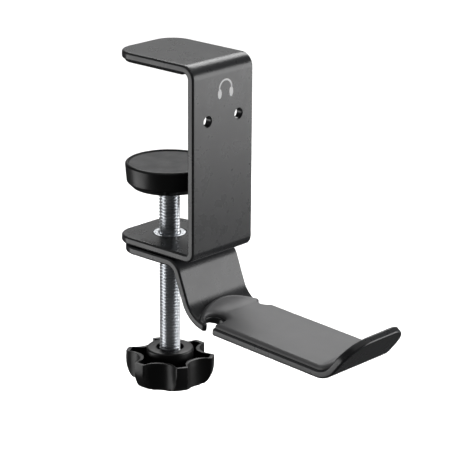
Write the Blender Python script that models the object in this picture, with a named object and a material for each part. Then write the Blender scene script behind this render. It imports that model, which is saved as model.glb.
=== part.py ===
"""Clamp-on headphone hook: a bent steel clamp bracket, a screw with a star knob, and a swivelling hook arm.

Lengths are in millimetres here and become metres where a mesh is made. The origin is on the screw's axis, in
the upper jaw pad's lower face, which rests on a desk. X runs across the strip, -Y points at the user, +Z is up.
"""

import math

import bmesh
import bpy
from mathutils import Vector, geometry

MM = 0.001

# Strip steel
STRIP_T = 3.0
STRIP_W = 32.0
EDGE_R = 0.8
BLANK_CORNER_R = 9.0

# Clamp bracket
JAW_GAP = 67.3
UPPER_REACH = 13.9
LOWER_REACH = 14.9
PLATE_Y = -27.5
UPPER_BEND_R = 2.2
LOWER_BEND_R = 1.0
PLATE_HOLE_R = 2.0
PLATE_HOLE_X = 8.2
PLATE_HOLE_BELOW_TOP = 21.5
HOLE_EASE = 0.3

# Upper jaw pad
JAW_PAD_T = 1.0
JAW_PAD_INSET = 1.2
JAW_PAD_EDGE_R = 0.25
JAW_PAD_REAR_CORNER_R = 1.0
GLUE = 0.1

# Screw and its bush
SCREW_R = 4.0
SCREW_RUN = 0.07
SCREW_TIP_CHAMFER = 0.8
BUSH_HEAD_R = 6.2
BUSH_JOURNAL_R = 5.9
BUSH_FIT = 0.06
STEP_GAP = 0.1

# Hook swivel stack, counted down from the lower arm
FRICTION_WASHER_T = 0.4
FRICTION_WASHER_R = 9.5
WAVE_WASHER_T = 0.5
WAVE_WASHER_R = 8.6
RETAINER_T = 1.6
RETAINER_R = 8.4
FACE_GAP = 0.05

# Hook arm path
TAB_REACH = 12.8
FIRST_BEND_Y = -14.0
FIRST_BEND_R = 4.0
FIRST_BEND_DEG = 69.0
PANEL_LENGTH = 10.9
SECOND_BEND_R = 10.5
CRADLE_DEG = 3.0
CRADLE_LENGTH = 53.4
LIP_BEND_R = 7.5
LIP_DEG = 51.5
LIP_LENGTH = 14.2
LIP_CORNER_R = 10.0

# Cable notch in the cradle's -X edge
NOTCH_AFTER_BEND = -0.2
NOTCH_FROM_EDGE = 5.5
NOTCH_R = 3.5
NOTCH_MOUTH_R = 0.9
NOTCH_HORN_R = 1.1

# Shallow dent in the cradle's +X edge
DENT_AFTER_BEND = 1.4
DENT_R = 3.2
DENT_OUT = 0.9
DENT_CORNER_R = 1.5

# Cradle pad
CRADLE_PAD_T = 1.8
CRADLE_PAD_INSET = 0.6
CRADLE_PAD_GAP = 0.12
CRADLE_PAD_EDGE_R = 0.4
CRADLE_PAD_REAR = 11.0
CRADLE_PAD_BOW_DEPTH = 8.064
CRADLE_PAD_REAR_CORNER_R = 1.5
CRADLE_PAD_FRONT_CORNER_R = 6.0
CRADLE_PAD_NOTCH_STEP = 0.6
CRADLE_PAD_MOUTH_R = 0.9
CRADLE_PAD_HORN_R = 0.5

# Swivel foot on the screw's tip
FOOT_R = 16.0
FOOT_H = 8.8
FOOT_BOTTOM = 18.5
FOOT_CHAMFER = 2.2
FOOT_WALL = 1.0
FOOT_FLOOR = 3.5
FOOT_POCKET_R = 7.6
FOOT_FACE_T = 1.9
FOOT_FACE_RUN = 0.1
FOOT_RIM_EASE = 0.25
SHOULDER_RUN = 0.3
NECK_R = 2.6
NECK_RUN = 0.07
TIP_WASHER_R = 6.5
TIP_WASHER_T = 0.8
RIVET_R = 3.8
RIVET_T = 1.3
RIVET_END = 0.6

# Star knob
KNOB_LOBES = 6
KNOB_TIP_R = 17.3
KNOB_FLUTE_R = 12.3
KNOB_TIP_DEG = 16.0
KNOB_RIM = -49.1
KNOB_BOTTOM = -60.0
KNOB_BOSS_TOP = -46.6
KNOB_BOSS_R = 9.1
KNOB_BOSS_CHAMFER = 0.6
KNOB_BORE_R = 5.25
KNOB_BORE_DEPTH = 3.0
KNOB_WALL = 1.7
KNOB_FLOOR = -57.0
KNOB_DOME_H = 8.5
KNOB_BASE_R = 13.2
HEX_ACROSS_FLATS = 13.0
HEX_HEIGHT = 5.3
HEX_FIT = 0.1
HEX_RECESS = 0.3
HEX_SEAT_GAP = 0.2
HEX_EDGE_EASE = 0.4

# Mesh fineness
ROUND_STEPS = 48
STAR_STEPS = 96
BEND_STEP_DEG = 6.0
CORNER_STEPS = 7
NOTCH_STEPS = 16
DENT_STEPS = 6
MOUTH_STEPS = 3
EDGE_STEPS = 2
DOME_STEPS = 4
CAP_GRID = 4.0
MIN_SPACING = 0.3
MIN_ACROSS = 1e-6
SHARP_DEG = 35.0

# Places that several pieces share
NOTCH_X = STRIP_W / 2.0 - NOTCH_FROM_EDGE
LOWER_ARM_TOP = -JAW_GAP
LOWER_ARM_BOTTOM = LOWER_ARM_TOP - STRIP_T
WASHER_TOP = LOWER_ARM_BOTTOM - FACE_GAP
TAB_TOP = WASHER_TOP - FRICTION_WASHER_T - FACE_GAP
TAB_BOTTOM = TAB_TOP - STRIP_T
WAVE_TOP = TAB_BOTTOM - FACE_GAP
RETAINER_TOP = WAVE_TOP - WAVE_WASHER_T - FACE_GAP
BUSH_BOTTOM = RETAINER_TOP - RETAINER_T


def clear_scene():
    for old in list(bpy.data.objects):
        bpy.data.objects.remove(old, do_unlink=True)


def material(name, color, roughness, metallic=0.0):
    made = bpy.data.materials.new(name)
    made.use_nodes = True
    shader = made.node_tree.nodes["Principled BSDF"]
    shader.inputs["Base Color"].default_value = (*color, 1.0)
    shader.inputs["Roughness"].default_value = roughness
    shader.inputs["Metallic"].default_value = metallic
    made.diffuse_color = (*color, 1.0)
    return made


def add_object(name, points, faces, mat, parent=None, origin=(0.0, 0.0, 0.0)):
    """A closed mesh from points in millimetres, with its origin where given and its normals facing out."""
    shift = Vector(origin)
    mesh = bpy.data.meshes.new(name)
    mesh.from_pydata([(Vector(p) - shift) * MM for p in points], [], faces)
    work = bmesh.new()
    work.from_mesh(mesh)
    bmesh.ops.recalc_face_normals(work, faces=work.faces)
    work.to_mesh(mesh)
    work.free()
    mesh.materials.append(mat)
    mesh.shade_smooth()
    mesh.set_sharp_from_angle(angle=math.radians(SHARP_DEG))
    made = bpy.data.objects.new(name, mesh)
    bpy.context.scene.collection.objects.link(made)
    made.parent = parent
    made.location = shift * MM
    return made


def loop_faces(first, second, count):
    """Quads between two rings of the same count, given by the index of each ring's first point."""
    return [
        (first + k, first + (k + 1) % count, second + (k + 1) % count, second + k)
        for k in range(count)
    ]


def loft(name, rings, mat, steps, through, parent=None, z_shift=0.0):
    """Rings of (radius or radius function, height) joined in order. A through part ends on its first ring."""
    points = []
    for radius, height in rings:
        for k in range(steps):
            angle = 2.0 * math.pi * k / steps
            reach = radius(angle) if callable(radius) else radius
            points.append((reach * math.cos(angle), reach * math.sin(angle), height + z_shift))
    faces = []
    for k in range(len(rings) - 1):
        faces += loop_faces(k * steps, (k + 1) * steps, steps)
    last = (len(rings) - 1) * steps
    if through:
        faces += loop_faces(last, 0, steps)
    else:
        faces.append(tuple(range(steps)))
        faces.append(tuple(range(last + steps - 1, last - 1, -1)))
    return add_object(name, points, faces, mat, parent)


def washer(name, inner, outer, top, thickness, mat, parent=None):
    bottom = top - thickness
    rings = [(inner, top), (outer, top), (outer, bottom), (inner, bottom)]
    loft(name, rings, mat, ROUND_STEPS, True, parent)


def arc(center, radius, start_deg, end_deg, steps, off, convex=True):
    """Points of an outline's arc moved into the material by off. A convex arc shrinks, a concave one grows."""
    reach = radius - off if convex else radius + off
    found = []
    for k in range(steps + 1):
        angle = math.radians(start_deg + (end_deg - start_deg) * k / steps)
        found.append((center[0] + reach * math.cos(angle), center[1] + reach * math.sin(angle)))
    return found


def notch_side(off, middle, edge, radius, mouth_r, horn_r):
    """A round hole near the strip's edge and the mouth it opens through, walked in the direction of falling u.

    The mouth's front wall runs straight out from the hole, and a horn with a round tip narrows it from behind.
    """
    front = arc((middle + radius + mouth_r, edge - mouth_r), mouth_r, 90.0, 180.0, MOUTH_STEPS, off)
    rise = edge - horn_r - NOTCH_X
    behind = math.sqrt((radius + horn_r) ** 2 - rise**2)
    turn = math.degrees(math.atan2(rise, -behind))
    hole = arc((middle, NOTCH_X), radius, 0.0, turn - 360.0, NOTCH_STEPS, off, convex=False)
    horn = arc((middle - behind, edge - horn_r), horn_r, turn - 180.0, 90.0, MOUTH_STEPS, off)
    return front + hole + horn[1:]


def dent_side(off, middle, edge):
    """A shallow dent in the strip's edge with rounded shoulders, walked in the direction of falling u."""
    rise = DENT_OUT + DENT_CORNER_R
    reach = math.sqrt((DENT_R + DENT_CORNER_R) ** 2 - rise**2)
    lean = math.degrees(math.atan2(rise, reach))
    high = edge - DENT_CORNER_R
    first = arc((middle + reach, high), DENT_CORNER_R, 90.0, 180.0 - lean, MOUTH_STEPS, off)
    hollow = arc((middle, edge + DENT_OUT), DENT_R, -lean, lean - 180.0, DENT_STEPS, off, convex=False)
    second = arc((middle - reach, high), DENT_CORNER_R, lean, 90.0, MOUTH_STEPS, off)
    return first + hollow[1:] + second[1:]


def side_points(off, half, start, end, stations, cut=()):
    """One side of a blank, from its far end to its near one, with the points of a cut set into it."""
    low = start[0][0] + MIN_SPACING
    high = end[-1][0] - MIN_SPACING
    along = [(u, half - off) for u in stations[::-1] if low < u < high]
    if cut:
        front = cut[0][0] + MIN_SPACING
        behind = cut[-1][0] - MIN_SPACING
        before = [p for p in along if p[0] > front]
        along = before + list(cut) + [p for p in along if p[0] < behind]
    return end + along + start


def whole_outline(left, right):
    """Two sides as one loop. The left side is the one with negative v."""
    return right + [(u, -v) for u, v in left[::-1] if v > MIN_ACROSS]


def strip_outline(off, length, width, start_r, end_r, stations, left_cut=(), right_cut=()):
    """The flat blank's outline, u along the strip and v across it. Stations are the u values of the bends."""
    half = width / 2.0
    start = arc((start_r, half - start_r), start_r, 90.0, 180.0, CORNER_STEPS, off)
    end = arc((length - end_r, half - end_r), end_r, 0.0, 90.0, CORNER_STEPS, off)
    left = side_points(off, half, start, end, stations, left_cut)
    right = side_points(off, half, start, end, stations, right_cut)
    return whole_outline(left, right)


def round_hole(center, radius, steps, ease):
    """A round hole through a blank, whose edge takes the given share of the blank's edge rounding."""

    def outline(off):
        reach = radius + off * ease
        turns = [2.0 * math.pi * k / steps for k in range(steps)]
        return [(center[0] + reach * math.cos(a), center[1] + reach * math.sin(a)) for a in turns]

    return outline


def inside(point, loop):
    found = False
    for k in range(len(loop)):
        a, b = loop[k - 1], loop[k]
        if (a[1] > point[1]) != (b[1] > point[1]):
            cross = a[0] + (point[1] - a[1]) / (b[1] - a[1]) * (b[0] - a[0])
            if point[0] < cross:
                found = not found
    return found


def nearest(point, loops):
    return min((math.dist(point, q) for loop in loops for q in loop), default=1e9)


def cap_triangles(loops, stations, half):
    """Triangles inside the first loop and outside the others, with inner points on the bend stations."""
    points = [Vector(p) for loop in loops for p in loop]
    edges = []
    base = 0
    for loop in loops:
        edges += [(base + k, base + (k + 1) % len(loop)) for k in range(len(loop))]
        base += len(loop)
    inner = []
    columns = max(2, round(2.0 * half / CAP_GRID))
    for u in stations:
        for k in range(1, columns):
            spot = (u, -half + 2.0 * half * k / columns)
            held = inside(spot, loops[0]) and not any(inside(spot, hole) for hole in loops[1:])
            if held and nearest(spot, loops) > 2.0 * MIN_SPACING:
                inner.append(spot)
    points += [Vector(p) for p in inner]
    verts, _, faces, origin, _, _ = geometry.delaunay_2d_cdt(points, edges, [], 1, 1e-6)
    if len(verts) != len(points):
        raise ValueError("the blank's outline crosses itself")
    source = [ids[0] for ids in origin]
    kept = []
    for face in faces:
        middle = [sum(verts[k][axis] for k in face) / len(face) for axis in (0, 1)]
        if inside(middle, loops[0]) and not any(inside(middle, hole) for hole in loops[1:]):
            kept.append(tuple(source[k] for k in face))
    return kept, inner


def rounded_levels(face, radius, up):
    """(height, inset) pairs from a plate's face to where its rounded edge ends, up or down from that face."""
    if not radius:
        return [(face, 0.0)]
    turns = [math.pi / 2.0 * k / EDGE_STEPS for k in range(EDGE_STEPS + 1)]
    return [(face + up * radius * (1.0 - math.cos(a)), radius * (1.0 - math.sin(a))) for a in turns]


def edge_levels(low, high, low_r, high_r):
    return rounded_levels(low, low_r, 1.0) + rounded_levels(high, high_r, -1.0)[::-1]


def bent_plate(name, outlines, levels, stations, half, path, mat, parent=None):
    """A plate cut as a flat blank, its edges rounded, then bent along a path."""
    caps, inner = cap_triangles([outline(levels[0][1]) for outline in outlines], stations, half)
    points = []
    rings = []
    for height, off in levels:
        level = []
        for outline in outlines:
            loop = outline(off)
            level.append((len(points), len(loop)))
            points += [(u, v, height) for u, v in loop]
        rings.append(level)
    faces = []
    for low, high in zip(rings, rings[1:]):
        for (first, count), (second, _) in zip(low, high):
            faces += loop_faces(first, second, count)
    outline_count = sum(count for _, count in rings[0])
    for level, height in ((rings[0], levels[0][0]), (rings[-1], levels[-1][0])):
        extra = len(points) - outline_count
        points += [(u, v, height) for u, v in inner]
        start = level[0][0]
        for face in caps:
            faces.append(tuple(start + k if k < outline_count else extra + k for k in face))
    return add_object(name, [path(u, v, t) for u, v, t in points], faces, mat, parent)


class Path:
    """A strip's middle line in the YZ plane, made of straight runs and bends, with u measured along it."""

    def __init__(self, y, z, heading_deg):
        self.pieces = []
        self.length = 0.0
        self.stations = []
        self.spot = (y, z, math.radians(heading_deg))

    def straight(self, length):
        y, z, heading = self.spot
        self.pieces.append((self.length, length, 0.0, self.spot))
        self.spot = (y + length * math.cos(heading), z + length * math.sin(heading), heading)
        self.length += length
        return self

    def bend(self, radius, turn_deg):
        """A bend about the middle line's radius. A positive turn is to the left of the heading."""
        turn = math.radians(turn_deg)
        length = radius * abs(turn)
        y, z, heading = self.spot
        steps = max(2, round(abs(turn_deg) / BEND_STEP_DEG))
        self.stations += [self.length + length * k / steps for k in range(steps + 1)]
        self.pieces.append((self.length, length, turn, self.spot))
        side = math.copysign(radius, turn)
        self.spot = (
            y + side * (math.sin(heading + turn) - math.sin(heading)),
            z - side * (math.cos(heading + turn) - math.cos(heading)),
            heading + turn,
        )
        self.length += length
        return self

    def at(self, u):
        for start, length, turn, (y, z, heading) in self.pieces:
            if u <= start + length + 1e-9:
                break
        run = u - start
        if not turn:
            return y + run * math.cos(heading), z + run * math.sin(heading), heading
        now = heading + turn * run / length
        side = length / turn
        return (
            y + side * (math.sin(now) - math.sin(heading)),
            z - side * (math.cos(now) - math.cos(heading)),
            now,
        )

    def place(self, u, v, t):
        """The point t above the middle line, on the side to the left of the heading."""
        y, z, heading = self.at(u)
        return v, y - t * math.sin(heading), z + t * math.cos(heading)


def bracket_path():
    """From the upper arm's free end, along the arm, down the plate and back along the lower arm."""
    upper_mid = JAW_PAD_T + STRIP_T / 2.0
    upper_r = UPPER_BEND_R + STRIP_T / 2.0
    lower_r = LOWER_BEND_R + STRIP_T / 2.0
    plate_mid = PLATE_Y + STRIP_T / 2.0
    lower_mid = LOWER_ARM_TOP - STRIP_T / 2.0
    path = Path(UPPER_REACH, upper_mid, 180.0)
    path.straight(UPPER_REACH - (plate_mid + upper_r))
    path.bend(upper_r, 90.0)
    path.straight(upper_mid - upper_r - (lower_mid + lower_r))
    path.bend(lower_r, 90.0)
    path.straight(LOWER_REACH - (plate_mid + lower_r))
    return path


def hook_path():
    """From the tab's free end under the bracket, down the panel, along the cradle and up the lip."""
    mid = STRIP_T / 2.0
    path = Path(TAB_REACH, TAB_TOP - mid, 180.0)
    path.straight(TAB_REACH - FIRST_BEND_Y)
    path.bend(FIRST_BEND_R + mid, FIRST_BEND_DEG)
    path.straight(PANEL_LENGTH)
    path.bend(SECOND_BEND_R + mid, -(FIRST_BEND_DEG - CRADLE_DEG))
    cradle_start = path.length
    path.straight(CRADLE_LENGTH)
    path.bend(LIP_BEND_R + mid, -(LIP_DEG + CRADLE_DEG))
    lip_start = path.length
    path.straight(LIP_LENGTH)
    return path, cradle_start, lip_start


def build_bracket(steel, parent):
    path = bracket_path()
    plate_top_u = path.pieces[2][0]
    hole_u = plate_top_u + PLATE_HOLE_BELOW_TOP - UPPER_BEND_R - STRIP_T
    bush_u = path.length - LOWER_REACH

    def outline(off):
        return strip_outline(
            off, path.length, STRIP_W, BLANK_CORNER_R, BLANK_CORNER_R, path.stations
        )

    holes = [
        round_hole((hole_u, side * PLATE_HOLE_X), PLATE_HOLE_R, ROUND_STEPS // 2, HOLE_EASE)
        for side in (-1.0, 1.0)
    ]
    holes.append(round_hole((bush_u, 0.0), BUSH_HEAD_R + BUSH_FIT, ROUND_STEPS, 0.0))
    levels = edge_levels(-STRIP_T / 2.0, STRIP_T / 2.0, EDGE_R, EDGE_R)
    half = STRIP_W / 2.0
    loops = [outline] + holes
    bent_plate("clamp_bracket", loops, levels, path.stations, half, path.place, steel, parent)


def build_jaw_pad(soft, parent):
    length = UPPER_REACH - PLATE_Y - STRIP_T - UPPER_BEND_R - 2.0 * JAW_PAD_INSET
    width = STRIP_W - 2.0 * JAW_PAD_INSET
    front = UPPER_REACH - JAW_PAD_INSET
    corner = BLANK_CORNER_R - JAW_PAD_INSET

    def outline(off):
        return strip_outline(off, length, width, corner, JAW_PAD_REAR_CORNER_R, [])

    def place(u, v, t):
        return v, front - u, t

    levels = edge_levels(0.0, JAW_PAD_T - GLUE, JAW_PAD_EDGE_R, 0.0)
    bent_plate("upper_jaw_pad", [outline], levels, [], width / 2.0, place, soft, parent)


def flipped(path, shift=0.0):
    """The hook path heads towards -Y, so its left is the underside, and height counts the other way."""

    def place(u, v, t):
        return path.place(u + shift, v, -t)

    return place


def build_hook_arm(steel, parent):
    path, cradle_start, _ = hook_path()
    half = STRIP_W / 2.0
    hole_u = cradle_start + NOTCH_AFTER_BEND
    dent_u = cradle_start + DENT_AFTER_BEND
    stations = path.stations

    def outline(off):
        notch = notch_side(off, hole_u, half, NOTCH_R, NOTCH_MOUTH_R, NOTCH_HORN_R)
        dent = dent_side(off, dent_u, half)
        tab_r = BLANK_CORNER_R
        lip_r = LIP_CORNER_R
        return strip_outline(off, path.length, STRIP_W, tab_r, lip_r, stations, notch, dent)

    pivot = round_hole((TAB_REACH, 0.0), BUSH_JOURNAL_R + BUSH_FIT, ROUND_STEPS, 0.0)
    levels = edge_levels(-STRIP_T / 2.0, STRIP_T / 2.0, EDGE_R, EDGE_R)
    loops = [outline, pivot]
    bent_plate("hook_arm", loops, levels, stations, half, flipped(path), steel, parent)


def build_cradle_pad(soft, parent):
    """A sheet on the cradle's top, with a bowed rear end on the panel and a round-cornered end at the lip."""
    path, cradle_start, lip_start = hook_path()
    rear = cradle_start - CRADLE_PAD_REAR
    length = lip_start - rear
    half = STRIP_W / 2.0 - CRADLE_PAD_INSET
    stations = [u - rear for u in path.stations]
    hole_u = CRADLE_PAD_REAR + NOTCH_AFTER_BEND
    hole_r = NOTCH_R + CRADLE_PAD_NOTCH_STEP
    dent_u = CRADLE_PAD_REAR + DENT_AFTER_BEND
    corner_r = CRADLE_PAD_REAR_CORNER_R
    corner_u = CRADLE_PAD_BOW_DEPTH
    bow_r = (corner_u**2 + (half - corner_r) ** 2 - corner_r**2) / (2.0 * (corner_u - corner_r))
    meet = math.degrees(math.atan2(half - corner_r, corner_u - bow_r))
    front_r = CRADLE_PAD_FRONT_CORNER_R

    def outline(off):
        start = arc((corner_u, half - corner_r), corner_r, 90.0, meet, CORNER_STEPS, off)
        start += arc((bow_r, 0.0), bow_r, meet, 180.0, CORNER_STEPS, off)[1:]
        end = arc((length - front_r, half - front_r), front_r, 0.0, 90.0, CORNER_STEPS, off)
        notch = notch_side(off, hole_u, half, hole_r, CRADLE_PAD_MOUTH_R, CRADLE_PAD_HORN_R)
        dent = dent_side(off, dent_u, half)
        left = side_points(off, half, start, end, stations, notch)
        right = side_points(off, half, start, end, stations, dent)
        return whole_outline(left, right)

    top = STRIP_T / 2.0
    levels = edge_levels(top + CRADLE_PAD_GAP, top + CRADLE_PAD_T, 0.0, CRADLE_PAD_EDGE_R)
    inner = [u for u in stations if MIN_SPACING < u < length - MIN_SPACING]
    bent_plate("cradle_pad", [outline], levels, inner, half, flipped(path, rear), soft, parent)


def build_bush(zinc, parent):
    rings = [
        (SCREW_R + SCREW_RUN, LOWER_ARM_TOP),
        (BUSH_HEAD_R, LOWER_ARM_TOP),
        (BUSH_HEAD_R, LOWER_ARM_BOTTOM),
        (BUSH_JOURNAL_R, LOWER_ARM_BOTTOM),
        (BUSH_JOURNAL_R, BUSH_BOTTOM),
        (SCREW_R + SCREW_RUN, BUSH_BOTTOM),
    ]
    loft("threaded_bush", rings, zinc, ROUND_STEPS, True, parent)


def star(tip, flute):
    """The radius of the knob's outline at an angle: short lobe tips joined by round flutes."""
    span = 2.0 * math.pi / KNOB_LOBES
    tip_half = math.radians(KNOB_TIP_DEG) / 2.0
    chord = tip * math.sin(span / 2.0 - tip_half)
    depth = tip * math.cos(span / 2.0 - tip_half) - flute
    flute_r = (chord**2 + depth**2) / (2.0 * depth)
    center = flute + flute_r

    def radius(angle):
        away = abs((angle + span / 2.0) % span - span / 2.0)
        if away <= tip_half:
            return tip
        across = span / 2.0 - away
        root = flute_r**2 - (center * math.sin(across)) ** 2
        return center * math.cos(across) - math.sqrt(max(root, 0.0))

    return radius


def hexagon(across_flats):
    def radius(angle):
        away = (angle + math.pi / 6.0) % (math.pi / 3.0) - math.pi / 6.0
        return across_flats / 2.0 / math.cos(math.pi / 6.0 - abs(away))

    return radius


def scaled(outline, scale):
    return lambda angle: outline(angle) * scale


def domed(outline, reach):
    return lambda angle: min(outline(angle), reach)


def build_knob(plastic, parent):
    """A thin-walled cup with six lobes round a boss, its lobes cut off below by a dome."""
    outer = star(KNOB_TIP_R, KNOB_FLUTE_R)
    inner = star(KNOB_TIP_R - KNOB_WALL, KNOB_FLUTE_R - KNOB_WALL)
    pocket = hexagon(HEX_ACROSS_FLATS + 2.0 * HEX_FIT)
    pocket_top = KNOB_BOTTOM + HEX_RECESS + HEX_HEIGHT + HEX_SEAT_GAP
    rings = [
        (KNOB_BORE_R, KNOB_BOSS_TOP),
        (KNOB_BOSS_R - KNOB_BOSS_CHAMFER, KNOB_BOSS_TOP),
        (KNOB_BOSS_R, KNOB_BOSS_TOP - KNOB_BOSS_CHAMFER),
        (KNOB_BOSS_R, KNOB_FLOOR),
        (inner, KNOB_FLOOR),
        (inner, KNOB_RIM),
        (outer, KNOB_RIM),
    ]
    for k in range(DOME_STEPS + 1):
        rise = math.cos(math.pi / 2.0 * k / DOME_STEPS)
        lean = 1.0 - math.sqrt(1.0 - (1.0 - rise) ** 2)
        reach = KNOB_TIP_R - (KNOB_TIP_R - KNOB_BASE_R) * lean
        rings.append((domed(outer, reach), KNOB_BOTTOM + KNOB_DOME_H * rise))
    rings += [
        (pocket, KNOB_BOTTOM),
        (pocket, pocket_top),
        (SCREW_R + SCREW_RUN, pocket_top),
        (SCREW_R + SCREW_RUN, KNOB_BOSS_TOP - KNOB_BORE_DEPTH),
        (KNOB_BORE_R, KNOB_BOSS_TOP - KNOB_BORE_DEPTH),
    ]
    loft("star_knob", rings, plastic, STAR_STEPS, True, parent, LOWER_ARM_TOP)


def build_screw(zinc, parent):
    head = hexagon(HEX_ACROSS_FLATS)
    head_low = KNOB_BOTTOM + HEX_RECESS
    shoulder = FOOT_BOTTOM - SHOULDER_RUN
    rivet_low = FOOT_BOTTOM + FOOT_FLOOR + STEP_GAP + TIP_WASHER_T + STEP_GAP
    rings = [
        (scaled(head, 1.0 - HEX_EDGE_EASE / (HEX_ACROSS_FLATS / 2.0)), head_low),
        (head, head_low + HEX_EDGE_EASE),
        (head, head_low + HEX_HEIGHT),
        (SCREW_R, head_low + HEX_HEIGHT),
        (SCREW_R, shoulder - SCREW_TIP_CHAMFER),
        (SCREW_R - SCREW_TIP_CHAMFER, shoulder),
        (NECK_R, shoulder),
        (NECK_R, rivet_low),
        (RIVET_R, rivet_low),
        (RIVET_R, rivet_low + RIVET_T / 2.0),
        (RIVET_R * RIVET_END, rivet_low + RIVET_T),
    ]
    loft("clamp_screw", rings, zinc, ROUND_STEPS, False, parent, LOWER_ARM_TOP)


def build_foot(plastic, zinc, soft, parent):
    top = FOOT_BOTTOM + FOOT_H
    floor = FOOT_BOTTOM + FOOT_FLOOR
    seat = top - FOOT_FACE_T
    rings = [
        (NECK_R + NECK_RUN, floor),
        (FOOT_POCKET_R, floor),
        (FOOT_POCKET_R, seat - GLUE),
        (FOOT_R - FOOT_WALL, seat - GLUE),
        (FOOT_R - FOOT_WALL, top),
        (FOOT_R - FOOT_RIM_EASE, top),
        (FOOT_R, top - FOOT_RIM_EASE),
        (FOOT_R, FOOT_BOTTOM + FOOT_CHAMFER),
        (FOOT_R - FOOT_CHAMFER, FOOT_BOTTOM),
        (NECK_R + NECK_RUN, FOOT_BOTTOM),
    ]
    loft("foot_cup", rings, plastic, STAR_STEPS, True, parent, LOWER_ARM_TOP)
    face_r = FOOT_R - FOOT_WALL - FOOT_FACE_RUN
    face = [(face_r, seat), (face_r, top - FOOT_RIM_EASE), (face_r - FOOT_RIM_EASE, top)]
    loft("foot_face", face, soft, STAR_STEPS, False, parent, LOWER_ARM_TOP)
    washer_top = LOWER_ARM_TOP + floor + STEP_GAP / 2.0 + TIP_WASHER_T
    washer("foot_tip_washer", NECK_R + NECK_RUN, TIP_WASHER_R, washer_top, TIP_WASHER_T, zinc, parent)


def joint_frame(name, parent=None):
    """An empty on the clamp's screw axis, which every joint of the part shares."""
    made = bpy.data.objects.new(name, None)
    bpy.context.scene.collection.objects.link(made)
    made.parent = parent
    return made


def build():
    clear_scene()
    coated_steel = material("coated_steel", (0.045, 0.046, 0.048), 0.38, 0.25)
    zinc = material("zinc_plate", (0.62, 0.63, 0.65), 0.28, 1.0)
    plastic = material("black_plastic", (0.018, 0.018, 0.019), 0.42)
    foam = material("jaw_pad_foam", (0.02, 0.02, 0.021), 0.85)
    cover = material("cradle_silicone", (0.11, 0.11, 0.115), 0.5)
    face = material("foot_face_rubber", (0.045, 0.045, 0.048), 0.6)
    nylon = material("black_nylon", (0.012, 0.012, 0.012), 0.55)
    spring = material("spring_steel", (0.35, 0.35, 0.36), 0.35, 1.0)

    bracket = joint_frame("bracket_frame")
    hook = joint_frame("hook_swivel_axis", bracket)
    foot = joint_frame("foot_feed_axis", bracket)
    screw = joint_frame("screw_turn_axis", foot)

    build_bracket(coated_steel, bracket)
    build_jaw_pad(foam, bracket)
    build_bush(zinc, bracket)
    bore = BUSH_JOURNAL_R + BUSH_FIT
    washer("friction_washer", bore, FRICTION_WASHER_R, WASHER_TOP, FRICTION_WASHER_T, nylon, bracket)
    washer("wave_washer", bore, WAVE_WASHER_R, WAVE_TOP, WAVE_WASHER_T, spring, bracket)
    washer("bush_retainer", bore, RETAINER_R, RETAINER_TOP, RETAINER_T, zinc, bracket)
    build_hook_arm(coated_steel, hook)
    build_cradle_pad(cover, hook)
    build_foot(plastic, zinc, face, foot)
    build_screw(zinc, screw)
    build_knob(plastic, screw)


build()
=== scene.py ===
"""Visual model of the clamp-on headphone hook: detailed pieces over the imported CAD, in its frame.

Lengths are in millimetres in the numbers below and become metres where a mesh is made.
X runs across the strip, -Y points at the user, +Z is up. The screw's axis is the Z axis.
"""

import math

import bmesh
import bpy
import numpy as np
from mathutils import Matrix, Vector, geometry


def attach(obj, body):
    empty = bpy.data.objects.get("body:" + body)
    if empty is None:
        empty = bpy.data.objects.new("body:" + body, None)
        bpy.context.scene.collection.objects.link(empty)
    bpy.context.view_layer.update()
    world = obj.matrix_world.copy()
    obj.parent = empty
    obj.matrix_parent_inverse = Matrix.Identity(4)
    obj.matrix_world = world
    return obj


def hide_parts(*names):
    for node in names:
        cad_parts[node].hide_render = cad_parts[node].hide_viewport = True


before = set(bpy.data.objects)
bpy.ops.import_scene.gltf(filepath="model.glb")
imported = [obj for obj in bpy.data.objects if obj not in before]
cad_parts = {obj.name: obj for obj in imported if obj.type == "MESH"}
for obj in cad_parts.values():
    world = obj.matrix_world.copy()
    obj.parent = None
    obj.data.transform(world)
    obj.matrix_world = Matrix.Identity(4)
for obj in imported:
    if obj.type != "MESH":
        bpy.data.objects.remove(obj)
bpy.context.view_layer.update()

MM = 0.001

# Strip steel
STRIP_T = 3.0
STRIP_W = 32.0
EDGE_R = 0.8
BLANK_CORNER_R = 9.0

# Clamp bracket
JAW_GAP = 67.3
UPPER_REACH = 13.9
LOWER_REACH = 14.9
PLATE_Y = -27.5
UPPER_BEND_R = 2.2
LOWER_BEND_R = 1.0
PLATE_HOLE_R = 2.0
PLATE_HOLE_X = 8.2
PLATE_HOLE_BELOW_TOP = 21.5
HOLE_EASE = 0.3
BUSH_SEAT_R = 6.26
BUSH_SEAT_EASE = 0.55

# Upper jaw pad
JAW_PAD_T = 1.0
JAW_PAD_INSET = 1.2
JAW_PAD_EDGE_R = 0.3
JAW_PAD_REAR_CORNER_R = 1.0
GLUE = 0.1

# Screw and bush
SCREW_R = 4.0
PITCH = 1.25
THREAD_DEPTH = 0.7
BORE_BEVEL = 0.35
BUSH_HEAD_R = 6.2
BUSH_JOURNAL_R = 5.9
BUSH_BORE_R = 4.07
STAKE_R = 5.1
STAKE_W = 0.9
STAKE_DEPTH = 0.55

# Swivel stack under the lower arm
FRICTION_WASHER = (5.96, 9.5, 0.4)
WAVE_WASHER = (5.96, 8.6, 0.5)
RETAINER = (5.96, 8.4, 1.6)
FACE_GAP = 0.05

# Hook arm
TAB_REACH = 12.8
FIRST_BEND_Y = -14.0
FIRST_BEND_R = 4.0
FIRST_BEND_DEG = 69.0
PANEL_LENGTH = 10.9
SECOND_BEND_R = 10.5
CRADLE_DEG = 3.0
CRADLE_LENGTH = 53.4
LIP_BEND_R = 7.5
LIP_DEG = 51.5
LIP_LENGTH = 14.2
LIP_CORNER_R = 10.0
PIVOT_R = 5.96

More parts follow.
